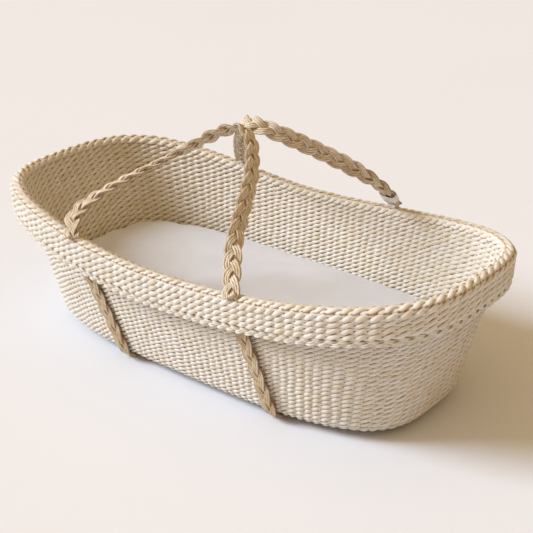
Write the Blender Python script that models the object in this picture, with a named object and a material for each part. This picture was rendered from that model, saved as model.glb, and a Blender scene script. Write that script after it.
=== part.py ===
"""A woven baby basket with a turned-down cuff, two braided carrying handles and a covered mattress.

Metres, +Z up. X runs along the basket with the foot end at +X, and the near side is at -Y.
The basket stands on its two straps, whose flat undersides are at Z = 0.
"""

import math

import bmesh
import bpy
import numpy as np
from mathutils import Matrix, Vector

GAP = 0.0003  # between pieces that touch
STATIONS = 60  # points round every outline

# The ridge of the rim, seen from above, and its height along the basket
RIDGE_HALF_LENGTH = 0.392
RIDGE_HALF_WIDTH = 0.193
RIDGE_SQUARENESS = 3.2
RIDGE_LOW_HEIGHT = 0.188
RIDGE_LOW_X = -0.020
HEAD_RISE = 0.034
FOOT_RISE = 0.047
FOOT_RISE_POWER = 1.6

# The foot of the wall, carried down to the floor
BASE_HALF_LENGTH = 0.324
BASE_HALF_WIDTH = 0.155
BASE_SQUARENESS = 3.4
BASE_SHIFT = 0.013

# Woven thicknesses
WALL_THICKNESS = 0.007
MAT_THICKNESS = 0.008
CORNER_RADIUS = 0.015
CORNER_STEPS = 4

# The fold of the rim and the cuff that it makes
FOLD_INNER = 0.0040
FOLD_OUTER = 0.0105
FOLD_STEPS = 6
RIM_CORD_RADIUS = 0.0035
CUFF_DROP = 0.041
CUFF_LEAN = 0.001
BORDER_RADIUS = 0.0055
BORDER_OUT = 0.005

# Straps that run down the wall and under the base
STRAP_WIDTH = 0.024
STRAP_THICKNESS = 0.0072
STRAP_SEAT = 0.0006  # room under a strap, because the wall bulges across its width
STRAP_ROUNDING = 0.002
STRAP_BOTTOM_X = {"head": -0.105, "foot": 0.170}
STRAP_TOP_X = {"head": -0.163, "foot": 0.133}
STRAP_TOP_DROP = 0.030
STRAP_STEPS = 4
MAT_UNDERSIDE = STRAP_THICKNESS + STRAP_SEAT

# Handles: an arch in a leaning plane, hinged on the line through its two exits from the rim
HINGE_OUT = 0.190
HINGE_HEIGHT = 0.207
HANDLE_LEAN = math.radians(51.3)
# Each arch in its own plane: (along the basket, up from the hinge line)
HANDLE_ARCH = {
    "near": (
        (-0.166, 0.003),
        (-0.190, 0.024),
        (-0.154, 0.080),
        (-0.068, 0.170),
        (0.000, 0.231),
        (0.045, 0.190),
        (0.067, 0.148),
        (0.096, 0.062),
        (0.129, 0.002),
    ),
    "far": (
        (-0.163, 0.001),
        (-0.131, 0.058),
        (-0.093, 0.117),
        (-0.053, 0.176),
        (-0.008, 0.231),
        (0.040, 0.206),
        (0.081, 0.140),
        (0.139, 0.064),
        (0.134, 0.000),
    ),
}
HANDLE_SAG = {"near": 0.0, "far": 0.008}  # how far the middle of a leg hangs below the plane
TWIST_START = 0.35
TWIST_END = 0.90

# Three-strand braid
BRAID_LENGTHS = 7.5  # full turns of a strand along one handle
BRAID_SWING = 0.009
BRAID_DEPTH = 0.0035
STRAND_HALF_WIDTH = 0.0033
STRAND_HALF_THICKNESS = 0.0025
STRAND_SIDES = 6
RINGS_PER_TURN = 12

# Label folded round the far handle's foot-end leg, measured from that exit
LABEL_FROM = 0.020
LABEL_LENGTH = 0.020
LABEL_HALF_SIZE = (0.0131, 0.0067)
LABEL_THICKNESS = 0.0008

# Mattress
MATTRESS_HALF_LENGTH = 0.336
MATTRESS_HALF_WIDTH = 0.1605
MATTRESS_SQUARENESS = 3.3
MATTRESS_SHIFT = 0.0095
COVER_THICKNESS = 0.0012
FLOOR_TOP = MAT_UNDERSIDE + MAT_THICKNESS
ELASTIC_WIDTH = 0.005
# The cover's outline from the hem underneath to the crowned top: (inset, height over the mat)
COVER_PROFILE = (
    (0.054, 0.000),
    (0.036, 0.000),
    (0.022, 0.006),
    (0.011, 0.024),
    (0.002, 0.050),
    (0.000, 0.060),
    (0.004, 0.070),
    (0.013, 0.075),
    (0.043, 0.077),
)

HUSK = ("pale woven husk", (0.80, 0.72, 0.58), 0.75)
ROPE = ("golden twisted rope", (0.62, 0.44, 0.23), 0.70)
COTTON = ("white cotton", (0.78, 0.78, 0.79), 0.85)
FOAM = ("mattress foam", (0.85, 0.83, 0.74), 0.90)
RUBBER = ("covered elastic", (0.88, 0.88, 0.88), 0.80)


def clear_scene():
    for obj in list(bpy.data.objects):
        bpy.data.objects.remove(obj, do_unlink=True)


def finish_material(finish):
    name, colour, roughness = finish
    material = bpy.data.materials.get(name) or bpy.data.materials.new(name)
    material.use_nodes = True
    shader = material.node_tree.nodes["Principled BSDF"]
    shader.inputs["Base Color"].default_value = (*colour, 1.0)
    shader.inputs["Roughness"].default_value = roughness
    shader.inputs["Metallic"].default_value = 0.0
    return material


def oval(angle, half_length, half_width, squareness):
    """A point of a squared oval."""
    c, s = math.cos(angle), math.sin(angle)
    power = 2.0 / squareness
    return Vector((
        half_length * math.copysign(abs(c) ** power, c),
        half_width * math.copysign(abs(s) ** power, s),
    ))


def even_angles():
    """Angles that space the stations evenly along the ridge."""
    fine = np.linspace(0.0, 2.0 * math.pi, 4001)
    points = np.array([
        oval(a, RIDGE_HALF_LENGTH, RIDGE_HALF_WIDTH, RIDGE_SQUARENESS) for a in fine
    ])
    steps = np.linalg.norm(np.diff(points, axis=0), axis=1)
    length = np.concatenate([[0.0], np.cumsum(steps)])
    wanted = (np.arange(STATIONS) + 0.5) * length[-1] / STATIONS
    return np.interp(wanted, length, fine)


def ridge_height(x):
    """Height of the ridge: lowest just off the middle, rising to both ends."""
    if x < RIDGE_LOW_X:
        share = min((RIDGE_LOW_X - x) / (RIDGE_LOW_X + RIDGE_HALF_LENGTH), 1.0)
        return RIDGE_LOW_HEIGHT + HEAD_RISE * math.sin(share * math.pi / 2.0) ** 2
    share = min((x - RIDGE_LOW_X) / (RIDGE_HALF_LENGTH - RIDGE_LOW_X), 1.0)
    return RIDGE_LOW_HEIGHT + FOOT_RISE * share ** FOOT_RISE_POWER


def at_rim(angle, out, drop):
    """A point given by its distance out from the ridge and its drop below it."""
    ridge = oval(angle, RIDGE_HALF_LENGTH, RIDGE_HALF_WIDTH, RIDGE_SQUARENESS)
    moved = oval(angle, RIDGE_HALF_LENGTH + out, RIDGE_HALF_WIDTH + out, RIDGE_SQUARENESS)
    return Vector((moved.x, moved.y, ridge_height(ridge.x) - drop))


def at_wall(angle, out, height):
    """A point given by its distance out from the wall's outer face and its height."""
    top = at_rim(angle, out - FOLD_INNER, FOLD_OUTER)
    foot = oval(angle, BASE_HALF_LENGTH + out, BASE_HALF_WIDTH + out, BASE_SQUARENESS)
    foot.x += BASE_SHIFT
    return Vector((*(foot.lerp(top.xy, height / top.z)), height))


def corner(turn, inwards):
    """The rounded foot of the wall: (distance out, height) after turning up by an angle."""
    radius = CORNER_RADIUS - inwards
    out = -CORNER_RADIUS + radius * math.sin(turn)
    height = MAT_UNDERSIDE + CORNER_RADIUS - radius * math.cos(turn)
    return out, height


def bridge(bm, first, second):
    """Joins two rings of vertices with quads."""
    count = len(first)
    for i in range(count):
        j = (i + 1) % count
        bm.faces.new((first[i], first[j], second[j], second[i]))


def new_object(name, bm, finish, smooth=30.0):
    """Makes an object of a closed bmesh, with its faces turned out."""
    bmesh.ops.recalc_face_normals(bm, faces=bm.faces)
    mesh = bpy.data.meshes.new(name)
    bm.to_mesh(mesh)
    bm.free()
    mesh.materials.append(finish_material(finish))
    mesh.shade_smooth()
    mesh.set_sharp_from_angle(angle=math.radians(smooth))
    obj = bpy.data.objects.new(name, mesh)
    bpy.context.collection.objects.link(obj)
    return obj


def ring_solid(name, finish, section):
    """A closed ring round the basket: section(angle) gives its outline at one station."""
    bm = bmesh.new()
    loops = [[bm.verts.new(p) for p in section(a)] for a in even_angles()]
    for here, after in zip(loops, loops[1:] + loops[:1]):
        bridge(bm, here, after)
    return new_object(name, bm, finish)


def stacked_solid(name, finish, outlines):
    """A closed solid of stacked outlines, capped at the first and the last."""
    bm = bmesh.new()
    loops = [[bm.verts.new(p) for p in outline] for outline in outlines]
    for here, after in zip(loops, loops[1:]):
        bridge(bm, here, after)
    bm.faces.new(loops[0])
    bm.faces.new(loops[-1])
    return new_object(name, bm, finish)


def closed_cord(name, finish, points, radius):
    """A round cord along a closed line."""
    curve = bpy.data.curves.new(name, "CURVE")
    curve.dimensions = "3D"
    curve.bevel_depth = radius
    curve.bevel_resolution = 1
    spline = curve.splines.new("POLY")
    spline.points.add(len(points) - 1)
    for place, point in zip(spline.points, points):
        place.co = (*point, 1.0)
    spline.use_cyclic_u = True
    curve.materials.append(finish_material(finish))
    obj = bpy.data.objects.new(name, curve)
    bpy.context.collection.objects.link(obj)
    return obj


def make_base():
    edge = [
        [at_wall(a, -CORNER_RADIUS - GAP, height) for a in even_angles()]
        for height in (MAT_UNDERSIDE, FLOOR_TOP)
    ]
    stacked_solid("base_mat", HUSK, edge)

    turns = [math.radians(90.0) * i / CORNER_STEPS for i in range(CORNER_STEPS + 1)]

    def section(angle):
        outer = [at_wall(angle, *corner(turn, 0.0)) for turn in turns]
        inner = [at_wall(angle, *corner(turn, MAT_THICKNESS)) for turn in reversed(turns)]
        return outer + inner

    ring_solid("base_turn_row", HUSK, section)


def make_wall():
    bottom = MAT_UNDERSIDE + CORNER_RADIUS + GAP

    def section(angle):
        top = at_rim(angle, 0.0, FOLD_OUTER).z - GAP
        corners = ((0.0, bottom), (0.0, top), (-WALL_THICKNESS, top), (-WALL_THICKNESS, bottom))
        return [at_wall(angle, out, height) for out, height in corners]

    ring_solid("wall_weave", HUSK, section)


def make_rim():
    turns = [math.pi * (1.0 - i / FOLD_STEPS) for i in range(FOLD_STEPS + 1)]

    def fold(angle, radius, turn):
        return at_rim(angle, radius * math.cos(turn), FOLD_OUTER - radius * math.sin(turn))

    def section(angle):
        outer = [fold(angle, FOLD_OUTER, turn) for turn in turns]
        inner = [fold(angle, FOLD_INNER, turn) for turn in reversed(turns)]
        edge = [
            at_rim(angle, FOLD_OUTER - CUFF_LEAN, CUFF_DROP),
            at_rim(angle, FOLD_INNER - CUFF_LEAN, CUFF_DROP),
        ]
        return outer + edge + inner

    ring_solid("cuff_weave", HUSK, section)
    angles = even_angles()
    core = [at_rim(a, 0.0, FOLD_OUTER) for a in angles]
    closed_cord("rim_core_cord", ROPE, core, RIM_CORD_RADIUS)
    border_drop = CUFF_DROP + GAP + BORDER_RADIUS
    border = [at_rim(a, BORDER_OUT, border_drop) for a in angles]
    closed_cord("cuff_border", HUSK, border, BORDER_RADIUS)


def wall_side(x, out, height, side):
    """The point of at_wall that has this X, on one long side."""
    low, high = 0.0, math.pi
    for _ in range(40):
        middle = (low + high) / 2.0
        if at_wall(middle, out, height).x > x:
            low = middle
        else:
            high = middle
    point = at_wall(low, out, height)
    return Vector((point.x, side * point.y, point.z))


def strap_ring(bm, centre, across, outward):
    """The rounded section of a flat strap."""
    wide, thick = STRAP_WIDTH / 2.0, STRAP_THICKNESS / 2.0
    cut = STRAP_ROUNDING
    corners = (
        (wide, cut - thick), (wide, thick - cut), (wide - cut, thick), (cut - wide, thick),
        (-wide, thick - cut), (-wide, cut - thick), (cut - wide, -thick), (wide - cut, -thick),
    )
    return [bm.verts.new(centre + across * u + outward * v) for u, v in corners]


def make_straps():
    middle = STRAP_THICKNESS / 2.0 + STRAP_SEAT
    for end in ("head", "foot"):
        bottom_x, top_x = STRAP_BOTTOM_X[end], STRAP_TOP_X[end]
        for side, word in ((-1, "near"), (1, "far")):
            turns = [math.radians(90.0) * i / CORNER_STEPS for i in range(CORNER_STEPS)]
            route = [(bottom_x, *corner(turn, -middle)) for turn in turns]
            top = ridge_height(top_x) - STRAP_TOP_DROP
            first = MAT_UNDERSIDE + CORNER_RADIUS
            for i in range(STRAP_STEPS + 1):
                share = i / STRAP_STEPS
                x = bottom_x + (top_x - bottom_x) * share
                route.append((x, middle, first + (top - first) * share))
            points = [wall_side(x, out, height, side) for x, out, height in route]
            bm = bmesh.new()
            rings = []
            for i, (x, out, height) in enumerate(route):
                edges = [wall_side(x + s * STRAP_WIDTH / 2.0, out, height, side) for s in (-1, 1)]
                across = (edges[1] - edges[0]).normalized()
                ahead = points[min(i + 1, len(points) - 1)] - points[max(i - 1, 0)]
                if i == 0:
                    ahead = Vector((-across.y, across.x, 0.0)) * side
                outward = across.cross(ahead).normalized() * side
                rings.append(strap_ring(bm, points[i], across, outward))
            for here, after in zip(rings, rings[1:]):
                bridge(bm, here, after)
            bm.faces.new(rings[0])
            bm.faces.new(rings[-1])
            new_object(f"side_strap_{word}_{end}", bm, ROPE)

        ends = [
            wall_side(bottom_x + s * STRAP_WIDTH / 2.0, *corner(0.0, -middle), 1).y for s in (-1, 1)
        ]
        reach = min(ends) - GAP
        bm = bmesh.new()
        rings = [
            strap_ring(bm, Vector((bottom_x, y, STRAP_THICKNESS / 2.0)), Vector((1, 0, 0)), Vector((0, 0, 1)))
            for y in (-reach, reach)
        ]
        bridge(bm, *rings)
        bm.faces.new(rings[0])
        bm.faces.new(rings[1])
        new_object(f"under_strap_{end}", bm, ROPE)


def smooth_line(points, spacing_count):
    """Evenly spaced points and tangents on a smooth curve through the given points."""
    knots = [Vector(p) for p in points]
    knots = [knots[0] * 2.0 - knots[1], *knots, knots[-1] * 2.0 - knots[-2]]
    fine = []
    for a, b, c, d in zip(knots, knots[1:], knots[2:], knots[3:]):
        for i in range(40):
            t = i / 40.0
            fine.append(
                b + (c - a) * (0.5 * t)
                + (a * 2.0 - b * 5.0 + c * 4.0 - d) * (0.5 * t * t)
                + (b * 3.0 - a - c * 3.0 + d) * (0.5 * t ** 3)
            )
    fine.append(knots[-2])
    fine = np.array(fine)
    steps = np.linalg.norm(np.diff(fine, axis=0), axis=1)
    length = np.concatenate([[0.0], np.cumsum(steps)])
    wanted = np.linspace(0.0, length[-1], spacing_count)
    even = np.stack([np.interp(wanted, length, fine[:, k]) for k in range(fine.shape[1])], axis=1)
    tangents = np.gradient(even, axis=0)
    tangents /= np.linalg.norm(tangents, axis=1)[:, None]
    return even, tangents, length[-1]


def ease(share):
    """A smooth step from 0 to 1."""
    share = min(max(share, 0.0), 1.0)
    return share * share * (3.0 - 2.0 * share)


def handle_frames(word, count):
    """Centre, across and flat directions of the strap along a handle, in the handle's own plane.

    The plane is local XY with Y up the handle. The strap lies flat to the rim at both exits and
    turns a quarter so that its flat side faces the palm at the top.
    """
    even, tangents, length = smooth_line(HANDLE_ARCH[word], count)
    frames = []
    for i, (point, along) in enumerate(zip(even, tangents)):
        share = 2.0 * i / (count - 1)
        turn = ease((share - TWIST_START) / (TWIST_END - TWIST_START))
        if share > 1.0:
            turn = 2.0 - ease((2.0 - share - TWIST_START) / (TWIST_END - TWIST_START))
        turn *= math.pi / 2.0
        centre = Vector((*point, -HANDLE_SAG[word] * math.sin(math.pi * share) ** 2))
        ahead = Vector((*along, 0.0))
        in_plane = Vector((-along[1], along[0], 0.0))
        across = in_plane * math.cos(turn) + Vector((0, 0, 1)) * math.sin(turn)
        flat = ahead.cross(across)
        frames.append((centre, across, flat))
    return frames, length


def handle_strand(bm, word, phase):
    """One strand of the braid, swept along the handle."""
    count = round(BRAID_LENGTHS * RINGS_PER_TURN) + 1
    frames, _ = handle_frames(word, count)
    centres = []
    for i, (centre, across, flat) in enumerate(frames):
        turn = 2.0 * math.pi * i / RINGS_PER_TURN + phase
        swing = across * (BRAID_SWING * math.sin(turn))
        centres.append(centre + swing + flat * (BRAID_DEPTH * math.sin(2.0 * turn)))
    rings = []
    for i, centre in enumerate(centres):
        ahead = centres[min(i + 1, count - 1)] - centres[max(i - 1, 0)]
        wide = frames[i][2].cross(ahead).normalized()
        thick = ahead.cross(wide).normalized()
        ring = []
        for k in range(STRAND_SIDES):
            angle = 2.0 * math.pi * k / STRAND_SIDES
            ring.append(bm.verts.new(
                centre + wide * (STRAND_HALF_WIDTH * math.cos(angle))
                + thick * (STRAND_HALF_THICKNESS * math.sin(angle))
            ))
        rings.append(ring)
    for here, after in zip(rings, rings[1:]):
        bridge(bm, here, after)
    bm.faces.new(rings[0])
    bm.faces.new(rings[-1])


def make_label(parent):
    """A woven label folded into a flat sleeve round one leg of the strap."""
    count = 121
    frames, length = handle_frames("far", count)
    first = round((1.0 - (LABEL_FROM + LABEL_LENGTH) / length) * (count - 1))
    last = round((1.0 - LABEL_FROM / length) * (count - 1))
    bm = bmesh.new()
    wide, thick = LABEL_HALF_SIZE
    rings = []
    for grow in (0.0, LABEL_THICKNESS):
        for centre, across, flat in frames[first:last + 1:2][::-1 if grow else 1]:
            corners = ((1, 1), (-1, 1), (-1, -1), (1, -1))
            rings.append([
                bm.verts.new(centre + across * (u * (wide + grow)) + flat * (v * (thick + grow)))
                for u, v in corners
            ])
    for here, after in zip(rings, rings[1:] + rings[:1]):
        bridge(bm, here, after)
    label = new_object("care_label", bm, COTTON)
    label.parent = parent


def make_handles():
    for side, word in ((-1, "near"), (1, "far")):
        hinge = bpy.data.objects.new(f"{word}_handle_hinge", None)
        bpy.context.collection.objects.link(hinge)
        to_rim = Matrix.Translation((0.0, side * HINGE_OUT, HINGE_HEIGHT))
        hinge.matrix_world = to_rim @ Matrix.Rotation(math.pi / 2.0 + side * HANDLE_LEAN, 4, "X")
        for number in range(3):
            bm = bmesh.new()
            handle_strand(bm, word, number * 2.0 * math.pi / 3.0)
            strand = new_object(f"{word}_handle_strand_{number + 1}", bm, ROPE, smooth=75.0)
            strand.parent = hinge
        if side > 0:
            make_label(hinge)


def mattress_outline(inset, height):
    points = []
    for angle in even_angles():
        point = oval(
            angle, MATTRESS_HALF_LENGTH - inset, MATTRESS_HALF_WIDTH - inset, MATTRESS_SQUARENESS
        )
        points.append(Vector((point.x + MATTRESS_SHIFT, point.y, height)))
    return points


def thinned(profile, depth):
    """The profile moved in by a depth along its own normals."""
    moved = []
    for i, (inset, height) in enumerate(profile):
        before = profile[max(i - 1, 0)]
        after = profile[min(i + 1, len(profile) - 1)]
        along = Vector((after[0] - before[0], after[1] - before[1])).normalized()
        moved.append((inset + along.y * depth, height - along.x * depth))
    return moved


def make_mattress():
    outer = [(inset, FLOOR_TOP + GAP + height) for inset, height in COVER_PROFILE]
    inner = thinned(outer, COVER_THICKNESS)
    core = thinned(outer, COVER_THICKNESS + GAP)
    cover = [mattress_outline(*place) for place in reversed(outer)]
    cover += [mattress_outline(*place) for place in inner]
    stacked_solid("mattress_cover", COTTON, cover)
    stacked_solid("mattress_core", FOAM, [mattress_outline(*place) for place in core])

    hem_inset, hem_height = outer[0]
    near, far = hem_inset + GAP, hem_inset + GAP + ELASTIC_WIDTH
    low, high = hem_height, hem_height + COVER_THICKNESS
    corners = ((near, low), (near, high), (far, high), (far, low))
    loops = [mattress_outline(*place) for place in corners]
    bm = bmesh.new()
    rings = [[bm.verts.new(p) for p in loop] for loop in loops]
    for here, after in zip(rings, rings[1:] + rings[:1]):
        bridge(bm, here, after)
    new_object("cover_elastic", bm, RUBBER)


clear_scene()
make_base()
make_wall()
make_rim()
make_straps()
make_handles()
make_mattress()
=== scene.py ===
"""The looks of a woven baby basket: twined walls and cuff, braided handles and a covered mattress.

Metres, +Z up, +X towards the foot end, -Y the near side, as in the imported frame. Rows of weave and
braids are laid by one Geometry Nodes tree, LaidStrands, along paths worked out here.
"""

import logging
import math
from dataclasses import dataclass, field, fields, replace
from enum import Enum
from typing import Callable, Iterable, Sequence

import bmesh
import bpy
import numpy as np
from mathutils import Matrix, Vector


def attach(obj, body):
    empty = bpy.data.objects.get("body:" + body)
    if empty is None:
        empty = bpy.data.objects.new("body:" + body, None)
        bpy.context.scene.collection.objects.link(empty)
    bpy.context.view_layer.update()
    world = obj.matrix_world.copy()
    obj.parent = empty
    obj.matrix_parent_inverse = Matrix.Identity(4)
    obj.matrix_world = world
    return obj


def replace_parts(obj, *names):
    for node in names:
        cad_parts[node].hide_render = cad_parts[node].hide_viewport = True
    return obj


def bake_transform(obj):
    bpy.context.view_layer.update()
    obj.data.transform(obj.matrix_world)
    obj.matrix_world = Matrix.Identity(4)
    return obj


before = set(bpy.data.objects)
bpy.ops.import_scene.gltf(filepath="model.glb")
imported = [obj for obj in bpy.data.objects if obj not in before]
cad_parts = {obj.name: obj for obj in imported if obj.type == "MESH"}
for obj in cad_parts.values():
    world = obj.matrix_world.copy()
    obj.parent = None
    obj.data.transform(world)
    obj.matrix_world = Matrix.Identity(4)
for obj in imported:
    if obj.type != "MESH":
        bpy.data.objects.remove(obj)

MM = 0.001
UP = Vector((0.0, 0.0, 1.0))
QUARTER, HALF, TURN = math.pi / 2.0, math.pi, 2.0 * math.pi
log = logging.getLogger("basket")


# ---------------------------------------------------------------- colours and nodes


def linear(hex_colour: str) -> tuple[float, float, float, float]:
    """Linear RGBA of an sRGB hex colour such as "#C8A878"."""
    parts = [int(hex_colour[i:i + 2], 16) / 255.0 for i in (1, 3, 5)]
    return (*(p / 12.92 if p <= 0.04045 else ((p + 0.055) / 1.055) ** 2.4 for p in parts), 1.0)


@dataclass(frozen=True)
class Kind:
    """A type of node with the settings that it always has here, and the output that is used."""

    type: str
    settings: dict[str, str] = field(default_factory=dict)
    out: int | str = 0


PLUS, MINUS, TIMES, OVER, POWER, ABSOLUTE, SIGN, FLOOR, SINE, ARCTAN2 = (
    Kind("ShaderNodeMath", {"operation": name})
    for name in ("ADD", "SUBTRACT", "MULTIPLY", "DIVIDE", "POWER", "ABSOLUTE", "SIGN", "FLOOR",
                 "SINE", "ARCTAN2")
)
V_PLUS, V_MINUS, V_TIMES, V_SCALE, V_CROSS, V_UNIT = (
    Kind("ShaderNodeVectorMath", {"operation": name})
    for name in ("ADD", "SUBTRACT", "MULTIPLY", "SCALE", "CROSS_PRODUCT", "NORMALIZE")
)
MIX = Kind("ShaderNodeMix", {"data_type": "RGBA"}, 2)  # 0 the share, 6 and 7 the two colours
STEP = Kind("ShaderNodeMapRange", {"interpolation_type": "SMOOTHSTEP"})  # value, low, high
NOISE = Kind("ShaderNodeTexNoise")
ATTRIBUTE = Kind("ShaderNodeAttribute", out="Fac")
APART = Kind("ShaderNodeSeparateXYZ")
TOGETHER = Kind("ShaderNodeCombineXYZ")
BUMP = Kind("ShaderNodeBump")
COORDINATE = Kind("ShaderNodeTexCoord", out="Object")
NAMED = Kind("GeometryNodeInputNamedAttribute")
STORE = Kind("GeometryNodeStoreNamedAttribute")
PLACE = Kind("GeometryNodeInputPosition")
MOVE = Kind("GeometryNodeSetPosition")

Inputs = Sequence | dict


def link(tree: bpy.types.NodeTree, node: bpy.types.Node, inputs: Inputs) -> None:
    """Sets or links a node's inputs.

    Args:
        tree: The tree that the node is in.
        node: The node.
        inputs: Values, or sockets to link from, in order or by index or name.
    """
    for key, value in inputs.items() if isinstance(inputs, dict) else enumerate(inputs):
        if isinstance(value, bpy.types.NodeSocket):
            tree.links.new(value, node.inputs[key])
        else:
            node.inputs[key].default_value = value


def add(tree: bpy.types.NodeTree, kind: Kind | str, inputs: Inputs = (),
        out: int | str | None = None, **settings: str) -> bpy.types.NodeSocket:
    """Adds a node with its settings and links.

    Args:
        tree: The tree that it goes in.
        kind: What it is: one of the kinds above, or a node type.
        inputs: Values, or sockets to link from, in order or by index or name.
        out: The output to return, if it isn't the one that the kind names.
        settings: More of the node's own settings.

    Returns:
        One output socket of the new node, from which .node.outputs gives the others.
    """
    kind = Kind(kind) if isinstance(kind, str) else kind
    node = tree.nodes.new(kind.type)
    for key, value in {**kind.settings, **settings}.items():
        setattr(node, key, value)
    link(tree, node, inputs)
    return node.outputs[kind.out if out is None else out]


def new_material(name: str) -> tuple[bpy.types.Material, bpy.types.NodeTree, bpy.types.Node]:
    """Starts a node material.

    Args:
        name: Its name: what the real material is, and how it was worked.

    Returns:
        The material, its tree and its Principled shader.
    """
    material = bpy.data.materials.new(name)
    material.use_nodes = True
    tree = material.node_tree
    return material, tree, tree.nodes["Principled BSDF"]


# ---------------------------------------------------------------- finishes


@dataclass(frozen=True)
class HuskFinish:
    """Dried husk or stem: matt and fibrous, pale where it stands out, with painted brown shade in
    its creases and hollows.

    Attributes:
        name: The real material, and how it was worked.
        pale: Colour of the cleanest fibre.
        straw: Colour of the yellower fibre.
        crease: Colour towards the edges of a strand.
        hollow: Colour where a strand dives under the next one.
        crease_from: How far across a strand the crease's colour starts, from 0 to 1.
        crease_full: Where it is complete.
        fibres_per_metre: Streaks along a strand: one for each 14 mm.
        fibres_round: Streaks across half a strand.
        roughness: Roughness of the most matt fibre.
        relief: Height of the fibres, in metres.
    """

    name: str
    pale: str = "#ECEAE2"
    straw: str = "#E2D9C6"
    crease: str = "#A87A45"
    hollow: str = "#64401F"
    crease_from: float = 0.74
    crease_full: float = 1.06
    fibres_per_metre: float = 70.0
    fibres_round: float = 3.2
    roughness: float = 0.50
    relief: float = 0.7 * MM

    def material(self) -> bpy.types.Material:
        """Builds the material from the attributes that LaidStrands leaves on the mesh.

        Returns:
            The material.
        """
        material, tree, shader = new_material(self.name)
        along, tone, dip = (
            add(tree, ATTRIBUTE, attribute_name=key) for key in ("along", "tone", "dip")
        )
        side = add(tree, ATTRIBUTE, out="Vector", attribute_name="side")
        parts = add(tree, APART, (side,)).node.outputs
        offset = add(tree, TIMES, (tone, 37.0))
        length = add(tree, TIMES, (along, self.fibres_per_metre))
        width = add(tree, TIMES, (parts[1], self.fibres_round))
        thickness = add(tree, TIMES, (parts[0], self.fibres_round))
        place = add(tree, TOGETHER, (
            add(tree, PLUS, (length, offset)), add(tree, PLUS, (width, offset)), thickness,
        ))
        fibre = add(tree, NOISE, {"Vector": place, "Scale": 1.0, "Detail": 4.0, "Roughness": 0.6})
        fine_place = add(tree, V_TIMES, (place, (0.5, 3.6, 3.6)))
        fine = add(tree, NOISE, {"Vector": fine_place, "Scale": 1.0, "Detail": 3.0})
        yellowing = add(tree, PLUS, (add(tree, TIMES, (tone, 0.45)), fibre))
        base = add(tree, MIX, {
            0: add(tree, STEP, (yellowing, 0.40, 1.05)),
            6: linear(self.pale), 7: linear(self.straw),
        })
        # Painted shade: the colour turns brown towards the edges of a strand, where the rows meet;
        # the same brown also tints the fine streaks.
        edge = add(tree, ABSOLUTE, (parts[1],))
        ragged = add(tree, PLUS, (edge, add(tree, TIMES, (fibre, 0.12))))
        crease = add(tree, STEP, (ragged, self.crease_from, self.crease_full))
        streak = add(tree, STEP, (fine, 0.60, 0.80))
        for share, most in ((crease, 0.80), (streak, 0.30)):
            share = add(tree, TIMES, (share, most))
            base = add(tree, MIX, {0: share, 6: base, 7: linear(self.crease)})
        # Painted shade: darker brown towards a strand's edges where it dives under the next one.
        under = add(tree, STEP, (dip, 0.82, 1.0))
        hollow = add(tree, TIMES, (under, add(tree, STEP, (edge, 0.35, 0.9))))
        base = add(tree, MIX, {0: hollow, 6: base, 7: linear(self.hollow)})
        height = add(tree, PLUS, (fibre, add(tree, TIMES, (fine, 0.45))))
        link(tree, shader, {
            "Base Color": base,
            "Roughness": add(tree, PLUS, (add(tree, TIMES, (fibre, 0.25)), self.roughness)),
            "Specular IOR Level": 0.35,
            "Normal": add(tree, BUMP, {
                "Strength": 0.55, "Distance": self.relief, "Height": height,
            }),
        })
        return material


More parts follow.
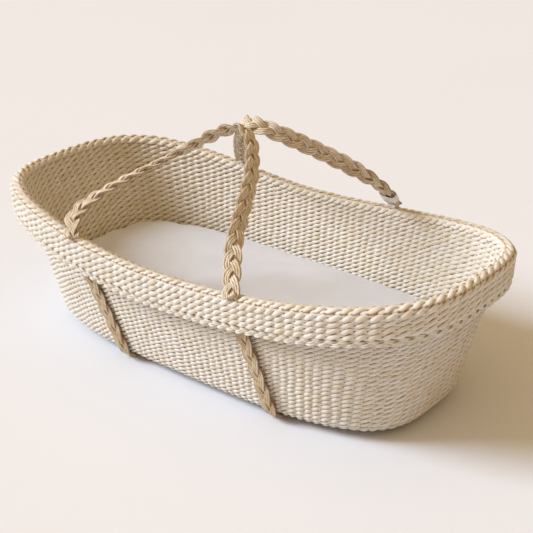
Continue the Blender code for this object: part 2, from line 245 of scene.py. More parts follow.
@dataclass(frozen=True)
class RopeFinish:
    """Twisted husk cord: fine helical fibres, with golden painted shade in the grooves between cords
    and plies.

    Attributes:
        name: The real material, and how it was worked.
        pale: Colour of the cleanest fibre.
        straw: Colour of the yellower fibre.
        groove: Colour between the plies.
        turns_per_metre: The twist: a turn in about 10 mm.
        plies: Plies in each cord.
        fibres_per_metre: Streaks along a cord: one for each 8 mm.
        fibres_round: Streaks across half a cord.
        roughness: Its roughness.
        relief: Height of the plies, in metres.
    """

    name: str
    pale: str = "#F0E7D6"
    straw: str = "#D9C6A4"
    groove: str = "#85623A"
    turns_per_metre: float = 95.0
    plies: float = 3.0
    fibres_per_metre: float = 120.0
    fibres_round: float = 3.0
    roughness: float = 0.66
    relief: float = 0.5 * MM

    def material(self) -> bpy.types.Material:
        """Builds the material from the attributes that LaidStrands leaves on the mesh.

        Returns:
            The material.
        """
        material, tree, shader = new_material(self.name)
        along, tone = (add(tree, ATTRIBUTE, attribute_name=key) for key in ("along", "tone"))
        side = add(tree, ATTRIBUTE, out="Vector", attribute_name="side")
        parts = add(tree, APART, (side,)).node.outputs
        angle = add(tree, ARCTAN2, (parts[1], parts[0]))
        twist = add(tree, TIMES, (along, TURN * self.turns_per_metre))
        wave = add(tree, SINE, (add(tree, PLUS, (add(tree, TIMES, (angle, self.plies)), twist)),))
        ply = add(tree, PLUS, (add(tree, TIMES, (wave, 0.5)), 0.5))
        length = add(tree, TIMES, (along, self.fibres_per_metre))
        place = add(tree, TOGETHER, (
            add(tree, PLUS, (length, add(tree, TIMES, (tone, 41.0)))),
            add(tree, TIMES, (parts[1], self.fibres_round)),
            add(tree, TIMES, (parts[0], self.fibres_round)),
        ))
        fibre = add(tree, NOISE, {"Vector": place, "Scale": 1.0, "Detail": 4.0, "Roughness": 0.65})
        yellowing = add(tree, PLUS, (add(tree, TIMES, (tone, 0.4)), fibre))
        base = add(tree, MIX, {
            0: add(tree, STEP, (yellowing, 0.45, 1.0)),
            6: linear(self.pale), 7: linear(self.straw),
        })
        # Painted shade: golden brown towards the edges of each cord and between its plies.
        edge = add(tree, STEP, (add(tree, ABSOLUTE, (parts[1],)), 0.60, 1.0))
        between_plies = add(tree, STEP, (ply, 0.40, 0.0))
        for share, most in ((edge, 0.75), (between_plies, 0.35)):
            share = add(tree, TIMES, (share, most))
            base = add(tree, MIX, {0: share, 6: base, 7: linear(self.groove)})
        height = add(tree, PLUS, (ply, add(tree, TIMES, (fibre, 0.8))))
        link(tree, shader, {
            "Base Color": base, "Roughness": self.roughness, "Specular IOR Level": 0.35,
            "Normal": add(tree, BUMP, {"Strength": 0.6, "Distance": self.relief, "Height": height}),
        })
        return material


@dataclass(frozen=True)
class CottonFinish:
    """Plain woven cotton, in object coordinates.

    Attributes:
        name: The real material, and how it was worked.
        light: Its lighter colour.
        shade: Its darker colour.
        thread: Width of a thread as drawn. A real one is about 0.3 mm, which is too fine to show
            from where the whole basket is seen, so it is drawn about three times coarser.
        roughness: Its roughness.
        strength: Strength of the bump.
        relief: Height of the threads, in metres.
    """

    name: str
    light: str = "#DADEE8"
    shade: str = "#D2D6E0"
    thread: float = 0.9 * MM
    roughness: float = 0.85
    strength: float = 0.18
    relief: float = 0.4 * MM

    def material(self) -> bpy.types.Material:
        """Builds the material.

        Returns:
            The material.
        """
        material, tree, shader = new_material(self.name)
        place = add(tree, COORDINATE)
        turned = add(tree, "ShaderNodeMapping", {"Vector": place, "Rotation": (0.0, 0.0, 0.02)})
        parts = add(tree, APART, (turned,)).node.outputs
        steps = (add(tree, TIMES, (part, HALF / self.thread)) for part in (parts[0], parts[1]))
        waves = (add(tree, SINE, (step,)) for step in steps)
        cloth = add(tree, TIMES, [add(tree, ABSOLUTE, (wave,)) for wave in waves])
        cloud = add(tree, NOISE, {"Vector": place, "Scale": 14.0, "Detail": 5.0, "Roughness": 0.55})
        slub_place = add(tree, V_TIMES, (place, (60.0, 900.0, 60.0)))
        slub = add(tree, NOISE, {"Vector": slub_place, "Scale": 1.0, "Detail": 2.0})
        share = add(tree, PLUS, (add(tree, TIMES, (cloud, 0.7)), add(tree, TIMES, (slub, 0.3))))
        height = add(tree, PLUS, (cloth, add(tree, TIMES, (cloud, 2.0))))
        link(tree, shader, {
            "Base Color": add(tree, MIX, {
                0: add(tree, STEP, (share, 0.35, 0.65)),
                6: linear(self.shade), 7: linear(self.light),
            }),
            "Roughness": self.roughness, "Specular IOR Level": 0.25,
            "Sheen Weight": 0.25, "Sheen Roughness": 0.5,
            "Normal": add(tree, BUMP, {
                "Strength": self.strength, "Distance": self.relief, "Height": height,
            }),
        })
        return material


@dataclass(frozen=True)
class PlainFinish:
    """A matt surface with a faint mottle, for the floor and the foam.

    Attributes:
        name: The real material, and how it was worked.
        light: Its lighter colour.
        shade: Its darker colour.
        mottle: Patches in each metre.
        roughness: Its roughness.
        relief: Height of the mottle, in metres.
    """

    name: str
    light: str
    shade: str
    mottle: float
    roughness: float = 0.9
    relief: float = 0.3 * MM

    def material(self) -> bpy.types.Material:
        """Builds the material.

        Returns:
            The material.
        """
        material, tree, shader = new_material(self.name)
        place = add(tree, COORDINATE)
        cloud = add(tree, NOISE, {"Vector": place, "Scale": self.mottle, "Detail": 4.0})
        link(tree, shader, {
            "Base Color": add(tree, MIX, {
                0: add(tree, STEP, (cloud, 0.3, 0.7)), 6: linear(self.shade), 7: linear(self.light),
            }),
            "Roughness": self.roughness, "Specular IOR Level": 0.2,
            "Normal": add(tree, BUMP, {"Strength": 0.15, "Distance": self.relief, "Height": cloud}),
        })
        return material


# ---------------------------------------------------------------- the basket's surfaces


class Side(Enum):
    """The two long sides."""

    NEAR = -1
    FAR = 1


class End(Enum):
    """The two ends."""

    HEAD = "head"
    FOOT = "foot"


@dataclass(frozen=True)
class BasketShape:
    """The basket's outlines, in the same terms as its frame."""

    ridge: tuple[float, float, float] = (0.392, 0.193, 3.2)
    foot: tuple[float, float, float] = (0.324, 0.155, 3.4)
    foot_shift: float = 0.013
    low_x: float = -0.020
    low_height: float = 0.188
    head_rise: float = 0.034
    foot_rise: float = 0.047
    foot_rise_power: float = 1.6
    wall: float = 0.007
    mat: float = 0.008
    underside: float = 0.0078
    corner_radius: float = 0.015
    fold_inner: float = 0.0040
    fold_outer: float = 0.0105
    cuff_drop: float = 0.041
    cuff_lean: float = 0.03

    def height(self, x: float) -> float:
        """The ridge's height at an X.

        Args:
            x: Place along the basket.

        Returns:
            The height, in metres.
        """
        if x < self.low_x:
            share = min((self.low_x - x) / (self.low_x + self.ridge[0]), 1.0)
            return self.low_height + self.head_rise * math.sin(share * QUARTER) ** 2
        share = min((x - self.low_x) / (self.ridge[0] - self.low_x), 1.0)
        return self.low_height + self.foot_rise * share ** self.foot_rise_power

    def at_rim(self, angle: float, out: float, drop: float) -> Vector:
        """A point by its distance out from the ridge and its drop below it.

        Args:
            angle: Angle round the basket.
            out: Distance out from the ridge.
            drop: Distance below it.

        Returns:
            The point.
        """
        a, b, n = self.ridge
        moved = oval(angle, a + out, b + out, n)
        return Vector((moved.x, moved.y, self.height(oval(angle, a, b, n).x) - drop))

    def at_wall(self, angle: float, out: float, height: float) -> Vector:
        """A point by its distance out from the wall's outer face and its height.

        Args:
            angle: Angle round the basket.
            out: Distance out from the wall's outer face.
            height: Height of the point.

        Returns:
            The point.
        """
        top = self.at_rim(angle, out - self.fold_inner, self.fold_outer)
        a, b, n = self.foot
        low = oval(angle, a + out, b + out, n)
        low.x += self.foot_shift
        return Vector((*low.lerp(top.xy, height / top.z), height))

    def corner(self, turn: float, inwards: float) -> tuple[float, float]:
        """The rounded foot of the wall: (distance out, height) after turning up by an angle.

        Args:
            turn: The angle turned up from the base.
            inwards: Distance in from the outer face.

        Returns:
            The distance out and the height.
        """
        radius = self.corner_radius - inwards
        return (
            -self.corner_radius + radius * math.sin(turn),
            self.underside + self.corner_radius - radius * math.cos(turn),
        )

    def wall_side(self, x: float, out: float, height: float, side: Side) -> Vector:
        """The point of at_wall that has this X, on one long side.

        Args:
            x: Place along the basket.
            out: Distance out from the wall's outer face.
            height: Height of the point.
            side: The long side.

        Returns:
            The point.
        """
        low, high = 0.0, math.pi
        for _ in range(36):
            middle = (low + high) / 2.0
            if self.at_wall(middle, out, height).x > x:
                low = middle
            else:
                high = middle
        point = self.at_wall(low, out, height)
        return Vector((point.x, side.value * point.y, point.z))

    def wall_row(self, angle: float, share: float) -> Vector:
        """A point in the middle of the wall, by its share of the way up.

        Args:
            angle: Angle round the basket.
            share: Share of the way up the wall.

        Returns:
            The point.
        """
        low = self.underside + self.corner_radius
        high = self.at_rim(angle, 0.0, self.fold_outer).z
        return self.at_wall(angle, -self.wall / 2.0, low + (high - low) * share)

    def corner_row(self, angle: float, turn: float) -> Vector:
        """A point in the middle of the rounded foot."""
        return self.at_wall(angle, *self.corner(turn, self.mat / 2.0))

    def cuff_row(self, angle: float, run: float) -> Vector:
        """A point in the middle of the cuff, by its run over the fold from the inside.

        Args:
            angle: Angle round the basket.
            run: Distance over the fold and down.

        Returns:
            The point.
        """
        radius = (self.fold_inner + self.fold_outer) / 2.0
        arc = math.pi * radius
        if run < arc:
            turn = math.pi * (1.0 - run / arc)
            over = self.fold_outer - radius * math.sin(turn)
            return self.at_rim(angle, radius * math.cos(turn), over)
        down = run - arc
        return self.at_rim(angle, radius - down * self.cuff_lean, self.fold_outer + down)


def oval(angle: float, half_length: float, half_width: float, squareness: float) -> Vector:
    """A point of a squared oval.

    Args:
        angle: Angle round it; even steps give uneven distances.
        half_length: Half its length.
        half_width: Half its width.
        squareness: 2 for an ellipse, and more for squarer ends.

    Returns:
        The point, in two dimensions.
    """
    c, s = math.cos(angle), math.sin(angle)
    power = 2.0 / squareness
    return Vector((
        half_length * math.copysign(abs(c) ** power, c),
        half_width * math.copysign(abs(s) ** power, s),
    ))


# ---------------------------------------------------------------- strands laid along paths


def finished(name: str, bm: bmesh.types.BMesh, material: bpy.types.Material) -> bpy.types.Object:
    """Makes a smooth-shaded object of a bmesh, which is freed, and links it to the scene.

    Args:
        name: Its name.
        bm: Its shape.
        material: Its material.

    Returns:
        The object.
    """
    mesh = bpy.data.meshes.new(name)
    bm.to_mesh(mesh)
    bm.free()
    mesh.materials.append(material)
    mesh.shade_smooth()
    obj = bpy.data.objects.new(name, mesh)
    bpy.context.scene.collection.objects.link(obj)
    return obj


def baked(obj: bpy.types.Object) -> None:
    """Turns an object's modifiers into its own mesh.

    Args:
        obj: The object.
    """
    graph = bpy.context.evaluated_depsgraph_get()
    mesh = bpy.data.meshes.new_from_object(obj.evaluated_get(graph), depsgraph=graph)
    obj.modifiers.clear()
    obj.data = mesh
    mesh.shade_smooth()


def bridge(bm: bmesh.types.BMesh, rings: Sequence, capped: bool) -> None:
    """Joins rings of vertices by faces, with every normal out.

    Args:
        bm: The bmesh that the vertices are in.
        rings: Lists of vertices of the same length.
        capped: Whether the first and last ring are filled, or else joined to one another.
    """
    for here, after in zip(rings, rings[1:] if capped else rings[1:] + rings[:1]):
        for i in range(len(here)):
            j = (i + 1) % len(here)
            bm.faces.new((here[i], here[j], after[j], after[i]))
    if capped:
        bm.faces.new(rings[0])
        bm.faces.new(rings[-1])
    bmesh.ops.recalc_face_normals(bm, faces=bm.faces)


@dataclass
class Path:
    """A line that strands are laid along.

    Attributes:
        points: Positions, in the row frame.
        across: Unit vectors across the braid, or up the wall for a row of weave.
        flat: Unit vectors out of the braid's flat side, or out of the wall.
        turn: The lay of the strands at each point, in radians.
        size: Scale of the section at each point.
        closed: Whether the line ends where it starts.
        row: A number that makes its random tones its own.
    """

    points: np.ndarray
    across: np.ndarray
    flat: np.ndarray
    turn: np.ndarray
    size: np.ndarray
    closed: bool = False
    row: int = 0


@dataclass(frozen=True)
class Lay:
    """How strands are laid: one set of inputs of the node tree.

    Attributes:
        strands: Strands that take turns.
        cords: Cords side by side in each strand.
        swing: How far a strand swings across.
        depth: How far a strand swings out and in.
        depth_turns: Swings out and in for each swing across.
        depth_phase: Where the swing out starts, in radians.
        spread: Distance between the cords of a strand.
        half_width: Half the section's width.
        half_thickness: Half the section's thickness.
        pinch: Share by which a strand narrows where it dives.
        hold: Power of its swing out and in: below 1 it stays out longer, above 1 it peaks sharply.
        wander: How far the stitches drift from their even places, in radians.
        unevenness: Random drift of a strand's centre.
        sides: Sides of the section.
    """

    strands: int
    cords: int
    swing: float
    depth: float
    depth_turns: float
    depth_phase: float
    half_width: float
    half_thickness: float
    unevenness: float
    spread: float = 0.0
    pinch: float = 0.0
    sides: int = 8
    hold: float = 1.0
    wander: float = 0.0


class LaidStrands:
    """The Geometry Nodes tree that lays twined or braided strands along the edges of a mesh."""

    SOCKETS = {part.name.replace("_", " ").title(): part for part in fields(Lay)}

    def __init__(self) -> None:
        """Builds the tree."""
        self.tree = bpy.data.node_groups.new("laid strands", "GeometryNodeTree")
        self.identifiers: dict[str, str] = {}
        self._build()

    def _socket(self, name: str, kind: str) -> None:
        """Adds a named input, of a socket type, and keeps its identifier."""
        item = self.tree.interface.new_socket(name, in_out="INPUT", socket_type=kind)
        self.identifiers[name] = item.identifier

    def _build(self) -> None:
        """Makes the interface and the nodes."""
        tree = self.tree
        self._socket("Geometry", "NodeSocketGeometry")
        for name, part in self.SOCKETS.items():
            self._socket(name, {int: "NodeSocketInt", float: "NodeSocketFloat"}[part.type])
        self._socket("Seed", "NodeSocketInt")
        self._socket("Material", "NodeSocketMaterial")
        tree.interface.new_socket("Geometry", in_out="OUTPUT", socket_type="NodeSocketGeometry")
        given = add(tree, "NodeGroupInput").node.outputs

        # One copy of each line for every cord of every strand.
        lines = add(tree, "GeometryNodeMeshToCurve", (given["Geometry"],))
        number = add(tree, TIMES, (given["Strands"], given["Cords"]))
        copies = add(tree, "GeometryNodeDuplicateElements",
                     {"Geometry": lines, "Amount": number}, domain="SPLINE").node.outputs
        curves = add(tree, STORE, {"Geometry": copies[0], "Name": "copy",
                                   "Value": copies["Duplicate Index"]}, domain="CURVE")
        turn, size, row, copy = (
            add(tree, NAMED, {"Name": key}) for key in ("turn", "size", "row", "copy")
        )
        across, flat = (
            add(tree, NAMED, {"Name": key}, data_type="FLOAT_VECTOR") for key in ("across", "flat")
        )
        strand = add(tree, OVER, (add(tree, PLUS, (copy, 0.01)), given["Cords"]))
        strand = add(tree, FLOOR, (strand,))
        cord = add(tree, MINUS, (copy, add(tree, TIMES, (strand, given["Cords"]))))

        # Where each strand is in its swing, with stitches that are not quite even.
        share = add(tree, OVER, (strand, given["Strands"]))
        phase = add(tree, PLUS, (turn, add(tree, TIMES, (share, TURN))))
        place = add(tree, PLACE)
        wander = add(tree, NOISE, {"Vector": place, "Scale": 38.0, "Detail": 1.0})
        wander = add(tree, TIMES, (add(tree, MINUS, (wander, 0.5)), given["Wander"]))
        curves = add(tree, STORE, {"Geometry": curves, "Name": "phase",
                                   "Value": add(tree, PLUS, (phase, wander))})
        phase = add(tree, NAMED, {"Name": "phase"})
        sine = add(tree, SINE, (phase,))
        swing = add(tree, TIMES, (sine, given["Swing"]))
        deep = add(tree, TIMES, (phase, given["Depth Turns"]))
        deep = add(tree, SINE, (add(tree, PLUS, (deep, given["Depth Phase"])),))
        held = add(tree, POWER, (add(tree, ABSOLUTE, (deep,)), given["Hold"]))
        deep = add(tree, TIMES, (held, add(tree, SIGN, (deep,))))
        deep = add(tree, TIMES, (deep, given["Depth"]))

        # The strand's centre swings across and in and out, and drifts a little.
        seed = add(tree, PLUS, (add(tree, TIMES, (copy, 3.7)), given["Seed"]))
        noise = add(tree, NOISE, {"Vector": place, "W": seed, "Scale": 55.0, "Detail": 2.0},
                    "Color", noise_dimensions="4D")
        move = add(tree, V_PLUS, (
            add(tree, V_SCALE, {0: across, "Scale": add(tree, TIMES, (swing, size))}),
            add(tree, V_SCALE, {0: flat, "Scale": deep}),
        ))
        drift = add(tree, V_SCALE, {
            0: add(tree, V_MINUS, (noise, (0.5, 0.5, 0.5))),
            "Scale": add(tree, TIMES, (given["Unevenness"], 4.0)),
        })
        curves = add(tree, MOVE, {"Geometry": curves, "Offset": add(tree, V_PLUS, (move, drift))})

        # Its cords lie side by side.
        tangent = add(tree, "GeometryNodeInputTangent")
        sideways = add(tree, V_CROSS, (flat, tangent))
        middle = add(tree, TIMES, (add(tree, MINUS, (given["Cords"], 1.0)), 0.5))
        step = add(tree, TIMES, (add(tree, MINUS, (cord, middle)), given["Spread"]))
        beside = add(tree, V_SCALE, {0: add(tree, V_UNIT, (sideways,)), "Scale": step})
        curves = add(tree, MOVE, {"Geometry": curves, "Offset": beside})
        thin = add(tree, V_UNIT, (add(tree, V_CROSS, (tangent, sideways)),))
        curves = add(tree, "GeometryNodeSetCurveNormal", {"Curve": curves, "Normal": thin},
                     mode="FREE")

        # What the finishes read: a random tone for each stitch, how deep it dives, and its length.
        stitch = add(tree, PLUS, (add(tree, OVER, (phase, HALF)), 0.5))
        stitch = add(tree, TIMES, (add(tree, FLOOR, (stitch,)), 5.0))
        number = add(tree, PLUS, (stitch, add(tree, TIMES, (row, 1009.0))))
        number = add(tree, PLUS, (number, add(tree, TIMES, (copy, 211.0))))
        tone = add(tree, "FunctionNodeRandomValue", {"ID": number, "Seed": given["Seed"]}, 1)
        dip = add(tree, POWER, (add(tree, ABSOLUTE, (sine,)), 3.0))
        length = add(tree, "GeometryNodeSplineParameter", out="Length")
        for key, value in (("tone", tone), ("dip", dip), ("along", length)):
            curves = add(tree, STORE, {"Geometry": curves, "Name": key, "Value": value})

        # The section: a slightly squared oval, narrower where its strand dives.
        narrow = add(tree, MINUS, (1.0, add(tree, TIMES, (dip, given["Pinch"]))))
        plump = add(tree, PLUS, (0.94, add(tree, TIMES, (tone, 0.14))))
        scale = add(tree, TIMES, (add(tree, TIMES, (narrow, plump)), size))
        circle = add(tree, "GeometryNodeCurvePrimitiveCircle", {"Resolution": given["Sides"]})
        circle = add(tree, STORE, {"Geometry": circle, "Name": "side", "Value": place},
                     data_type="FLOAT_VECTOR")
        round_place = add(tree, APART, (place,)).node.outputs
        full = [
            add(tree, TIMES, (add(tree, SIGN, (round_place[k],)),
                              add(tree, POWER, (add(tree, ABSOLUTE, (round_place[k],)), 0.96))))
            for k in (0, 1)
        ]
        circle = add(tree, MOVE, {"Geometry": circle, "Position": add(tree, TOGETHER, full)})
        stretch = add(tree, TOGETHER, (given["Half Thickness"], given["Half Width"], 1.0))
        section = add(tree, "GeometryNodeTransform", {"Geometry": circle, "Scale": stretch})
        mesh = add(tree, "GeometryNodeCurveToMesh",
                   {"Curve": curves, "Profile Curve": section, "Scale": scale, "Fill Caps": True})
        mesh = add(tree, "GeometryNodeSetShadeSmooth", (mesh,))
        mesh = add(tree, "GeometryNodeRealizeInstances", (mesh,))
        mesh = add(tree, "GeometryNodeSetMaterial",
                   {"Geometry": mesh, "Material": given["Material"]})
        link(tree, tree.nodes.new("NodeGroupOutput"), (mesh,))

    def lay(self, name: str, paths: Sequence[Path], lay: Lay, material: bpy.types.Material,
            seed: int) -> bpy.types.Object:
        """Lays strands along paths and returns them as one plain mesh.

        Args:
            name: The new object's name.
            paths: The lines that the strands follow.
            lay: How they are laid.
            material: Their material.
            seed: Seed of the random tones and the drift.

        Returns:
            The new object, at the origin.
        """
        obj = bpy.data.objects.new(name, lines_mesh(name, paths))
        bpy.context.scene.collection.objects.link(obj)
        modifier = obj.modifiers.new("laid strands", "NODES")
        modifier.node_group = self.tree
        for socket, part in self.SOCKETS.items():
            modifier[self.identifiers[socket]] = getattr(lay, part.name)
        modifier[self.identifiers["Seed"]] = seed
        modifier[self.identifiers["Material"]] = material
        graph = bpy.context.evaluated_depsgraph_get()
        mesh = bpy.data.meshes.new_from_object(obj.evaluated_get(graph), depsgraph=graph)
        mesh.name = name
        obj.modifiers.clear()
        obj.data = mesh
        for spare in ("across", "flat", "turn", "size", "row", "copy", "phase"):
            if spare in mesh.attributes:
                mesh.attributes.remove(mesh.attributes[spare])
        return obj


def lines_mesh(name: str, paths: Sequence[Path]) -> bpy.types.Mesh:
    """A mesh of edges along the paths, with the attributes that the tree reads.

    Args:
        name: Its name.
        paths: The paths.

    Returns:
        The mesh.
    """
    mesh = bpy.data.meshes.new(name)
    points, edges, start = [], [], 0
    for path in paths:
        count = len(path.points)
        points.extend(map(tuple, path.points))
        edges.extend((start + i, start + i + 1) for i in range(count - 1))
        if path.closed:
            edges.append((start + count - 1, start))
        start += count
    mesh.from_pydata(points, edges, [])
    for key, kind in (("across", "FLOAT_VECTOR"), ("flat", "FLOAT_VECTOR")):
        values = np.concatenate([getattr(path, key) for path in paths]).astype(np.float32)
        mesh.attributes.new(key, kind, "POINT").data.foreach_set("vector", values.ravel())
    for key in ("turn", "size"):
        values = np.concatenate([getattr(path, key) for path in paths]).astype(np.float32)
        mesh.attributes.new(key, "FLOAT", "POINT").data.foreach_set("value", values)
    rows = np.concatenate([np.full(len(path.points), path.row, np.float32) for path in paths])
    mesh.attributes.new("row", "FLOAT", "POINT").data.foreach_set("value", rows)
    return mesh


def unit(vectors: np.ndarray) -> np.ndarray:
    """The vectors at unit length."""
    return vectors / np.maximum(np.linalg.norm(vectors, axis=1, keepdims=True), 1e-12)


# ---------------------------------------------------------------- woven basket


@dataclass(frozen=True)
class WeaveSize:
    """Counts and sizes of the weave.

    Attributes:
        stitches: Stitches round every row; even, so that two strands close on themselves.
        samples: Points along each stitch.
        wall_rows: Rows up the wall.
        corner_rows: Rows round the foot of the wall.
        cuff_rows: Rows of the turned-down cuff.
        row_pitch: The pitch that the section is drawn for.
        end_density: Stitches at the two ends, against those of the sides at the same length.
        fold_growth: Share by which rows grow over the fold, where their outer faces spread.
        border_stitches: Stitches of the wall for each turn of the border's plait.
        border_drop: Distance of the border's centre below the cuff's edge.
        border_out: Its distance out from the ridge.
        base_rows: Rows of the base.
        base_stitch: Length of a stitch of the base.
    """

    stitches: int = 132
    samples: int = 7
    wall_rows: int = 24
    corner_rows: int = 3
    cuff_rows: int = 6
    row_pitch: float = 0.0076
    end_density: float = 0.80
    fold_growth: float = 0.20
    border_stitches: float = 3.2
    border_drop: float = 0.0053
    border_out: float = 0.0052
    base_rows: int = 31
    base_stitch: float = 0.0135


@dataclass
class Basket:
    """The woven basket itself: base, walls, cuff, border and stakes.

    Attributes:
        shape: Its outlines.
        size: The counts and sizes of its weave.
        strands: What lays its strands.
        husk: The finish of all that is woven.
        stem: The finish of the stakes: dark brown, painted shade in the gaps between the stitches.
    """

    shape: BasketShape
    size: WeaveSize
    strands: LaidStrands
    husk: bpy.types.Material
    stem: bpy.types.Material

    WALL = Lay(strands=2, cords=1, swing=2.35 * MM, depth=1.35 * MM, depth_turns=1.0,
               depth_phase=QUARTER, half_width=3.30 * MM, half_thickness=2.4 * MM,
               pinch=0.22, unevenness=0.55 * MM, hold=1.35, wander=2.0)
    STAKE = Lay(strands=1, cords=1, swing=0.0, depth=0.0, depth_turns=1.0, depth_phase=0.0,
                half_width=4.2 * MM, half_thickness=0.7 * MM, unevenness=0.1 * MM, sides=6)
    CORE = Lay(strands=3, cords=1, swing=1.6 * MM, depth=1.6 * MM, depth_turns=1.0,
               depth_phase=QUARTER, half_width=1.8 * MM, half_thickness=1.8 * MM,
               unevenness=0.0, sides=6)
    BORDER = Lay(strands=3, cords=2, swing=3.6 * MM, depth=2.2 * MM, depth_turns=2.0,
                 depth_phase=0.0, spread=2.4 * MM, half_width=1.9 * MM, half_thickness=1.7 * MM,
                 unevenness=0.5 * MM, sides=6)

    def __post_init__(self) -> None:
        """Places the stitches."""
        self.angles, self.turns = self._stations()

    def _stations(self) -> tuple[np.ndarray, np.ndarray]:
        """Angles round the basket that the stitches fall on evenly, and the lay at each.

        Returns:
            The angles, and the lay in radians.
        """
        fine = np.linspace(0.0, TURN, 6001)
        ridge = np.array([oval(a, *self.shape.ridge) for a in fine])
        steps = np.linalg.norm(np.diff(ridge, axis=0), axis=1)
        middle = (ridge[1:] + ridge[:-1]) / 2.0
        straight = np.clip((0.30 - np.abs(middle[:, 0])) / 0.08, 0.0, 1.0)
        weight = self.size.end_density + (1.0 - self.size.end_density) * straight
        run = np.concatenate([[0.0], np.cumsum(steps * weight)])
        count = self.size.stitches * self.size.samples
        share = np.arange(count) / count
        return np.interp(share * run[-1], run, fine), share * self.size.stitches * math.pi

    def row(self, place: Callable[[float, float], Vector], at: float, number: int,
            pitch: float) -> Path:
        """One closed row of weave.

        Args:
            place: Gives the surface's point at an angle and a run up it.
            at: The row's own run.
            number: The row's number.
            pitch: The run between this row and the next.

        Returns:
            The row's path.
        """
        points = np.array([place(a, at) for a in self.angles])
        above = np.array([place(a, at + pitch / 2.0) for a in self.angles])
        below = np.array([place(a, at - pitch / 2.0) for a in self.angles])
        tangent = unit(np.roll(points, -1, axis=0) - np.roll(points, 1, axis=0))
        flat = unit(np.cross(tangent, above - below))
        across = np.cross(flat, tangent)
        size = np.linalg.norm(above - below, axis=1) / self.size.row_pitch
        return Path(points, across, flat, self.turns, size, True, number)

    def build(self) -> list[bpy.types.Object]:
        """Makes every woven piece.

        Returns:
            The pieces.
        """
        made = []
        size, shape = self.size, self.shape
        pitch = 1.0 / size.wall_rows
        rows = [
            self.row(shape.wall_row, (i + 0.5) * pitch, i, pitch)
            for i in range(size.wall_rows)
        ]
        parts = 4
        for part in range(parts):
            chosen = rows[part * len(rows) // parts:(part + 1) * len(rows) // parts]
            name = f"wall_rows_{part + 1}"
            made.append(self.strands.lay(name, chosen, self.WALL, self.husk, 11 + part))
        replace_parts(made[0], "wall_weave")

        step = QUARTER / size.corner_rows
        corner = [
            self.row(shape.corner_row, (i + 0.5) * step, 40 + i, step)
            for i in range(size.corner_rows)
        ]
        made.append(self.strands.lay("base_turn_rows", corner, self.WALL, self.husk, 21))
        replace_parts(made[-1], "base_turn_row")

        arc = math.pi * (shape.fold_inner + shape.fold_outer) / 2.0
        run = arc + shape.cuff_drop - shape.fold_outer
        step = run / size.cuff_rows
        cuff = [
            self.row(shape.cuff_row, (i + 0.5) * step, 60 + i, step)
            for i in range(size.cuff_rows)
        ]
        for i, path in enumerate(cuff):
            on_fold = ease((arc - (i + 0.5) * step) / step + 0.5)
            path.size = path.size * (1.0 + size.fold_growth * on_fold)
        made.append(self.strands.lay("cuff_rows", cuff, self.WALL, self.husk, 31))
        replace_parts(made[-1], "cuff_weave")
        made += [self._stakes(run), self._core(), self._border(), self._base()]
        for piece in made:
            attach(piece, "basket")
        return made

    def _stakes(self, cuff_run: float) -> bpy.types.Object:
        """The stakes that every row is twined round: up the wall, over the rim, down the cuff.

        Args:
            cuff_run: Length of the cuff, over the fold and down.

        Returns:
            The piece.
        """
        shape, paths = self.shape, []
        for number, angle in enumerate(self.angles[::self.size.samples]):
            line = [shape.corner_row(angle, turn) for turn in np.radians((0.0, 30.0, 60.0))]
            line += [shape.wall_row(angle, share) for share in np.linspace(0.0, 1.0, 12)]
            line += [shape.cuff_row(angle, run) for run in np.linspace(0.002, cuff_run, 11)]
            points = np.array(line)
            tangent = unit(np.gradient(points, axis=0))
            beside = np.array(shape.wall_row(angle + 0.01, 0.5) - shape.wall_row(angle - 0.01, 0.5))
            across = unit(np.tile(beside, (len(points), 1)))
            flat = unit(np.cross(across, tangent))
            ones = np.ones(len(points))
            paths.append(Path(points, across, flat, ones, ones, False, 200 + number))
        return self.strands.lay("weave_stakes", paths, self.STAKE, self.stem, 81)

    def _core(self) -> bpy.types.Object:
        """The twisted cord inside the fold of the rim.

        Returns:
            The piece.
        """
        shape = self.shape

        def in_fold(angle: float, below: float) -> Vector:
            """A point in the middle of the fold."""
            return shape.at_rim(angle, 0.0, shape.fold_outer + below)

        path = self.row(in_fold, 0.0, 91, self.size.row_pitch)
        path.turn = path.turn / math.pi * TURN / 3.0
        path.size = np.ones(len(path.points))
        core = self.strands.lay("rim_core_twist", [path], self.CORE, self.husk, 43)
        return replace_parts(core, "rim_core_cord")

    def _border(self) -> bpy.types.Object:
        """The rough plait along the cuff's lower edge.

        Returns:
            The piece.
        """
        shape, size = self.shape, self.size
        drop = shape.cuff_drop + size.border_drop

        def under_cuff(angle: float, below: float) -> Vector:
            """A point just under the cuff's last row."""
            return shape.at_rim(angle, size.border_out, drop + below)

        path = self.row(under_cuff, 0.0, 90, size.row_pitch)
        plait = round(size.stitches / size.border_stitches)
        path.turn = np.arange(len(path.points)) / len(path.points) * plait * TURN
        path.size = np.ones(len(path.points))
        border = self.strands.lay("cuff_border_plait", [path], self.BORDER, self.husk, 41)
        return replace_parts(border, "cuff_border")

